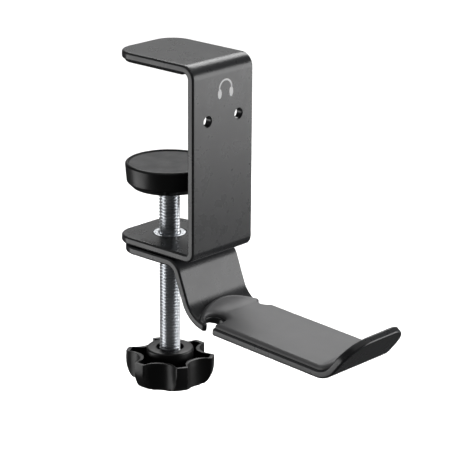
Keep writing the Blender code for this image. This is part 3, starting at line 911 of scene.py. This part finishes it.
def build_screw(material):
    """The screw: a hex head, a rolled right-hand thread, a turned neck and a riveted tip, as one mesh."""
    head_low = KNOB_BOTTOM + HEX_RECESS
    shoulder = FOOT_BOTTOM - 0.3
    washer_top = FOOT_BOTTOM + FOOT_FLOOR + STEP_GAP + TIP_WASHER_T + STEP_GAP
    steps = 72
    samples = 12
    low = head_low + HEX_HEIGHT
    high = shoulder - 0.6
    points = []
    faces = []
    rows = int((high - low) / PITCH * samples) + samples + 2
    for row in range(rows):
        for k in range(steps):
            angle = 2.0 * math.pi * k / steps
            z = low + PITCH * ((row - samples) / samples + k / steps)
            depth = thread_radius((row % samples) / samples)
            taper = min(1.0, max(0.0, (high + 0.3 - z) / 1.4))
            reach = NECK_R + 0.55 + (depth - NECK_R - 0.55) * taper
            z = min(max(z, low), high)
            points.append((reach * math.cos(angle), reach * math.sin(angle), z))
    for row in range(rows - 1):
        for k in range(steps - 1):
            first = row * steps + k
            faces.append((first, first + 1, first + steps + 1, first + steps))
        first = row * steps + steps - 1
        if row + samples + 1 < rows:
            after = (row + samples) * steps
            faces.append((first, after, after + steps, first + steps))
    thread = add_piece("thread", points, faces, material)

    hexagon = hex_radius(HEX_ACROSS_FLATS)
    bottom = [
        (HEX_ACROSS_FLATS * 0.44, head_low),
        (scaled(hexagon, 0.93), head_low + 0.1),
        (lambda a: min(hexagon(a), HEX_ACROSS_FLATS * 0.54), head_low + 0.55),
        (hexagon, head_low + 1.0),
        (hexagon, low),
        (SCREW_R - THREAD_DEPTH, low),
        (SCREW_R - THREAD_DEPTH - 0.02, low + 0.5),
    ]
    neck = [
        (SCREW_R - THREAD_DEPTH - 0.2, high - 0.3),
        (SCREW_R - THREAD_DEPTH - 0.2, shoulder),
        (NECK_R, shoulder),
        (NECK_R, washer_top),
        (RIVET_R, washer_top),
        (RIVET_R, washer_top + RIVET_T * 0.35),
        (RIVET_R * 0.93, washer_top + RIVET_T * 0.65),
        (RIVET_R * 0.78, washer_top + RIVET_T * 0.87),
        (RIVET_R * 0.55, washer_top + RIVET_T),
    ]
    head = turned("head", bottom, material, through=False)
    tip = turned("tip", neck, material, through=False)
    parts = [thread, head, tip]
    for part in parts:
        part.location.z = ARM_TOP * MM
    return joined("threaded_screw", parts)


def joined(name, parts):
    """Several meshes as one object, in world coordinates."""
    work = bmesh.new()
    for part in parts:
        held = part.data.copy()
        held.transform(Matrix.Translation(part.location))
        work.from_mesh(held)
        bpy.data.meshes.remove(held)
    mesh = bpy.data.meshes.new(name)
    work.to_mesh(mesh)
    work.free()
    mesh.materials.append(parts[0].data.materials[0])
    mesh.shade_smooth()
    mesh.set_sharp_from_angle(angle=math.radians(35.0))
    for part in parts:
        bpy.data.objects.remove(part, do_unlink=True)
    made = bpy.data.objects.new(name, mesh)
    bpy.context.scene.collection.objects.link(made)
    weigh = made.modifiers.new("flat_faces", "WEIGHTED_NORMAL")
    weigh.keep_sharp = True
    return made


def hex_radius(across_flats):
    def radius(angle):
        away = (angle + math.pi / 6.0) % (math.pi / 3.0) - math.pi / 6.0
        return across_flats / 2.0 / math.cos(math.pi / 6.0 - abs(away))

    return radius


def scaled(outline, scale):
    return lambda angle: outline(angle) * scale


def star_radius(tip, flute, soften_deg=1.2):
    """The knob's outline radius at an angle: short lobe tips joined by round flutes, corners softened."""
    span = 2.0 * math.pi / KNOB_LOBES
    tip_half = math.radians(KNOB_TIP_DEG) / 2.0
    chord = tip * math.sin(span / 2.0 - tip_half)
    depth = tip * math.cos(span / 2.0 - tip_half) - flute
    flute_r = (chord**2 + depth**2) / (2.0 * depth)
    center = flute + flute_r
    soften = math.radians(soften_deg)

    def sharp(angle):
        away = abs((angle + span / 2.0) % span - span / 2.0)
        if away <= tip_half:
            return tip
        across = span / 2.0 - away
        root = flute_r**2 - (center * math.sin(across)) ** 2
        return center * math.cos(across) - math.sqrt(max(root, 0.0))

    def radius(angle):
        near = [sharp(angle + soften * k / 4.0) * (5 - abs(k)) for k in range(-4, 5)]
        return sum(near) / 25.0

    return radius


def build_knob(material):
    """The six-lobed hand knob: a thin-walled cup round a boss, its lobes cut off below by a dome."""
    outer = star_radius(KNOB_TIP_R, KNOB_FLUTE_R)
    inner = star_radius(KNOB_TIP_R - KNOB_WALL, KNOB_FLUTE_R - KNOB_WALL)
    pocket = hex_radius(HEX_ACROSS_FLATS + 2.0 * HEX_FIT)
    pocket_top = KNOB_BOTTOM + HEX_RECESS + HEX_HEIGHT + HEX_SEAT_GAP
    ease = KNOB_RIM_EASE
    rings = [
        (KNOB_BORE_R, KNOB_BOSS_TOP - 0.15),
        (KNOB_BORE_R + 0.15, KNOB_BOSS_TOP),
        (KNOB_BOSS_R - 0.7, KNOB_BOSS_TOP),
        (KNOB_BOSS_R - 0.35, KNOB_BOSS_TOP - 0.09),
        (KNOB_BOSS_R - 0.09, KNOB_BOSS_TOP - 0.35),
        (KNOB_BOSS_R, KNOB_BOSS_TOP - 0.7),
        (KNOB_BOSS_R, KNOB_FLOOR),
        (inner, KNOB_FLOOR),
        (inner, KNOB_RIM - ease),
        (lambda a: inner(a) + 0.1, KNOB_RIM - 0.1),
        (lambda a: inner(a) + ease, KNOB_RIM),
        (lambda a: outer(a) - ease, KNOB_RIM),
        (lambda a: outer(a) - 0.1, KNOB_RIM - 0.1),
    ]
    dome_steps = 14
    for k in range(dome_steps + 1):
        drop = KNOB_DOME_H * k / dome_steps
        lean = 1.0 - math.sqrt(max(0.0, 1.0 - (drop / KNOB_DOME_H) ** 2))
        reach = KNOB_TIP_R - (KNOB_TIP_R - KNOB_BASE_R) * lean
        height = KNOB_BOTTOM + KNOB_DOME_H - drop
        rings.append((lambda a, r=reach: soft_least(outer(a), r), height))
    rings += [
        (pocket, KNOB_BOTTOM),
        (pocket, pocket_top),
        (BUSH_BORE_R, pocket_top),
        (BUSH_BORE_R, KNOB_BOSS_TOP - KNOB_BORE_DEPTH),
        (KNOB_BORE_R, KNOB_BOSS_TOP - KNOB_BORE_DEPTH),
    ]
    return turned("lobed_knob", rings, material, steps=STAR_STEPS, z_shift=ARM_TOP)


def soft_least(a, b, blend=0.25):
    """The smaller of two lengths, rounded where they are within blend of each other."""
    share = max(blend - abs(a - b), 0.0) / blend
    return min(a, b) - share * share * blend / 4.0


def build_foot(material):
    top = FOOT_BOTTOM + FOOT_H
    floor = FOOT_BOTTOM + FOOT_FLOOR
    seat = top - FOOT_FACE_T - GLUE
    wall_in = FOOT_R - FOOT_WALL
    corners = [
        ((NECK_R + NECK_RUN, floor), 0.0),
        ((FOOT_POCKET_R, floor), 0.0),
        ((FOOT_POCKET_R, seat), 0.0),
        ((wall_in, seat), 0.0),
        ((wall_in, top - 0.1), 0.0),
        ((FOOT_R, top - 0.1), 0.3),
        ((FOOT_R, FOOT_BOTTOM + FOOT_CHAMFER), 0.8),
        ((FOOT_R - FOOT_CHAMFER, FOOT_BOTTOM), 0.8),
        ((NECK_R + NECK_RUN, FOOT_BOTTOM), 0.0),
    ]
    rings = eased([corner for corner, _ in corners], [radius for _, radius in corners])
    return turned("foot_disc", rings, material, steps=STAR_STEPS // 2, z_shift=ARM_TOP)


def build_foot_face(material):
    """The rubber disc bonded into the foot, with a thin skin that laps over the foot's rim."""
    top = FOOT_BOTTOM + FOOT_H
    seat = top - FOOT_FACE_T
    stem = FOOT_R - FOOT_WALL - 0.1
    reach = FOOT_R - 0.35
    rings = [(stem, seat), (stem, top - 0.09), (reach, top - 0.09), (reach, top - 0.05)]
    rings += [(reach - 0.12, top), (reach * 0.5, top), (reach * 0.1, top)]
    return turned("foot_face_disc", rings, material, steps=STAR_STEPS // 2, through=False, z_shift=ARM_TOP)


def build_mark(material):
    """A generic printed pictogram of a pair of headphones on the plate's front."""
    face_y = PLATE_Y - MARK_LIFT
    middle_x, middle_z = MARK_SPOT
    band = []
    steps = 32
    for radius in MARK_BAND:
        for k in range(steps + 1):
            angle = math.pi * k / steps
            band.append((middle_x + radius * math.cos(angle), middle_z + radius * math.sin(angle)))
    outer_at = steps + 1
    faces = [(k, k + 1, outer_at + k + 1, outer_at + k) for k in range(steps)]
    points = [(x, face_y, z) for x, z in band]
    for side in (-1.0, 1.0):
        x = middle_x + side * MARK_CUP_X
        base = len(points)
        cup = []
        for k in range(MARK_CUP_STEPS):
            angle = 2.0 * math.pi * k / MARK_CUP_STEPS
            z = MARK_CUP_Z + MARK_CUP_R[1] * math.sin(angle)
            cup.append((x + MARK_CUP_R[0] * math.cos(angle), face_y, z))
        points += cup
        faces.append(tuple(base + k for k in range(MARK_CUP_STEPS)))
    return add_piece("front_pictogram", points, faces, material)


# ---------------------------------------------------------------- assembly

finishes = make_finishes()

pieces = [
    (build_bracket(finishes["coated_steel"]), "bracket", "clamp_bracket", "coated_steel"),
    (build_jaw_pad(finishes["jaw_pad_foam"]), "bracket", "upper_jaw_pad", "jaw_pad_foam"),
    (build_bush(finishes["zinc_plate"]), "bracket", "threaded_bush", "zinc_plate"),
    (
        build_washer("slip_washer", FRICTION_WASHER, ARM_BOTTOM - FACE_GAP, finishes["black_nylon"]),
        "bracket",
        "friction_washer",
        "black_nylon",
    ),
    (
        build_washer("wavy_washer", WAVE_WASHER, WAVE_TOP, finishes["spring_steel"], wave=0.03),
        "bracket",
        "wave_washer",
        "spring_steel",
    ),
    (
        build_washer("retaining_ring", RETAINER, RETAINER_TOP, finishes["zinc_plate"]),
        "bracket",
        "bush_retainer",
        "zinc_plate",
    ),
    (build_hook(finishes["coated_steel"]), "hook", "hook_arm", "coated_steel"),
    (build_cradle_pad(finishes["cradle_silicone"]), "hook", "cradle_pad", "cradle_silicone"),
    (build_foot(finishes["black_plastic"]), "foot", "foot_cup", "black_plastic"),
    (build_foot_face(finishes["foot_face_rubber"]), "foot", "foot_face", "foot_face_rubber"),
    (build_screw(finishes["zinc_plate"]), "screw", "clamp_screw", "zinc_plate"),
    (build_knob(finishes["black_plastic"]), "screw", "star_knob", "black_plastic"),
    (build_mark(finishes["print"]), "bracket", None, "coated_steel"),
]
for piece, body, node, slot in pieces:
    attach(piece, body)
    if node:
        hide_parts(node)
bpy.data.objects["foot_tip_washer"].data.materials[0] = finishes["zinc_plate"]


# ---------------------------------------------------------------- stage, light and camera

FLOOR_Z = -0.42
FLOOR_LIGHT = 3.55

# Each soft light: its direction from the object, its distance, its width and height, and its radiance
SOFTBOXES = (
    ("overhead_softbox", (0.0, 0.0, 1.0), 1.2, (2.2, 2.2), 0.45),
    ("key_softbox", (0.62, 0.38, 0.66), 1.1, (0.9, 0.34), 6.6),
    ("right_front_card", (0.70, -0.70, 0.03), 1.0, (0.9, 0.58), 4.3),
    ("left_back_card", (-0.70, 0.645, -0.27), 1.0, (0.8, 0.40), 3.2),
    ("back_softbox", (0.70, 0.645, 0.30), 1.2, (1.2, 0.6), 0.3),
)


def add_floor():
    """A wide pale floor well below the clamp, with its own soft light and no reflection in the object."""
    size = 6.0
    mesh = bpy.data.meshes.new("studio_floor")
    corners = [(-size, -size, FLOOR_Z), (size, -size, FLOOR_Z), (size, size, FLOOR_Z), (-size, size, FLOOR_Z)]
    mesh.from_pydata(corners, [], [(0, 1, 2, 3)])
    floor = bpy.data.objects.new("studio_floor", mesh)
    bpy.context.scene.collection.objects.link(floor)
    made = Nodes("floor_paper")
    pale = made.blend_colors(made.noise(300.0), (0.9, 0.9, 0.9), (0.92, 0.92, 0.92))
    made.link(pale, made.shader.inputs["Base Color"])
    made.set(Roughness=0.9, Specular_IOR_Level=0.1)
    mesh.materials.append(made.material)
    floor.visible_glossy = False
    floor.visible_diffuse = False
    light = bpy.data.lights.new("floor_light", "SUN")
    light.energy = FLOOR_LIGHT
    light.angle = math.radians(80.0)
    lamp = bpy.data.objects.new("floor_light", light)
    bpy.context.scene.collection.objects.link(lamp)
    lit = bpy.data.collections.new("lit_by_floor_light")
    lit.objects.link(floor)
    lamp.light_linking.receiver_collection = lit


def add_softbox(name, spot, target, size, radiance):
    """A rectangular soft light, unseen by the camera, whose face has the given radiance."""
    light = bpy.data.lights.new(name, "AREA")
    light.shape = "RECTANGLE"
    light.size, light.size_y = size
    light.energy = radiance * math.pi * size[0] * size[1]
    light.spread = math.pi
    lamp = bpy.data.objects.new(name, light)
    lamp.location = spot
    aim = Vector(target) - Vector(spot)
    lamp.rotation_euler = aim.to_track_quat("-Z", "Y").to_euler()
    lamp.visible_camera = False
    bpy.context.scene.collection.objects.link(lamp)


def add_world(glow):
    """A white backdrop to look at, which lights the object only with a weak glow."""
    world = bpy.data.worlds.new("studio")
    world.use_nodes = True
    tree = world.node_tree
    lit = tree.nodes["Background"]
    lit.inputs["Color"].default_value = (1.0, 1.0, 1.0, 1.0)
    lit.inputs["Strength"].default_value = glow
    seen = tree.nodes.new("ShaderNodeBackground")
    seen.inputs["Color"].default_value = (1.0, 1.0, 1.0, 1.0)
    path = tree.nodes.new("ShaderNodeLightPath")
    mix = tree.nodes.new("ShaderNodeMixShader")
    tree.links.new(path.outputs["Is Camera Ray"], mix.inputs["Fac"])
    tree.links.new(lit.outputs["Background"], mix.inputs[1])
    tree.links.new(seen.outputs["Background"], mix.inputs[2])
    tree.links.new(mix.outputs["Shader"], tree.nodes["World Output"].inputs["Surface"])
    bpy.context.scene.world = world


def add_camera():
    """The camera that looks at the clamp from its near left, a little from above."""
    azimuth = math.radians(-47.29)
    elevation = math.radians(18.14)
    roll = math.radians(0.33)
    distance = 0.8212
    target = Vector((0.0155, -0.0163, -0.0663))
    back = Vector(
        (
            math.sin(azimuth) * math.cos(elevation),
            -math.cos(azimuth) * math.cos(elevation),
            math.sin(elevation),
        )
    )
    flat_right = Vector((math.cos(azimuth), math.sin(azimuth), 0.0))
    flat_up = back.cross(flat_right)
    right = flat_right * math.cos(roll) + flat_up * math.sin(roll)
    up = back.cross(right)
    data = bpy.data.cameras.new("studio_camera")
    data.lens = 170.28
    data.sensor_width = 36.0
    data.clip_start = 0.05
    camera = bpy.data.objects.new("studio_camera", data)
    turned_axes = Matrix((right, up, back)).transposed().to_4x4()
    camera.matrix_world = Matrix.Translation(target + back * distance) @ turned_axes
    bpy.context.scene.collection.objects.link(camera)
    bpy.context.scene.camera = camera


add_floor()
add_world(0.06)
for name, direction, distance, size, radiance in SOFTBOXES:
    middle = Vector((0.0, -0.02, -0.06))
    spot = middle + Vector(direction).normalized() * distance
    add_softbox(name, spot, middle, size, radiance)
add_camera()
bpy.context.scene.view_settings.view_transform = "Standard"
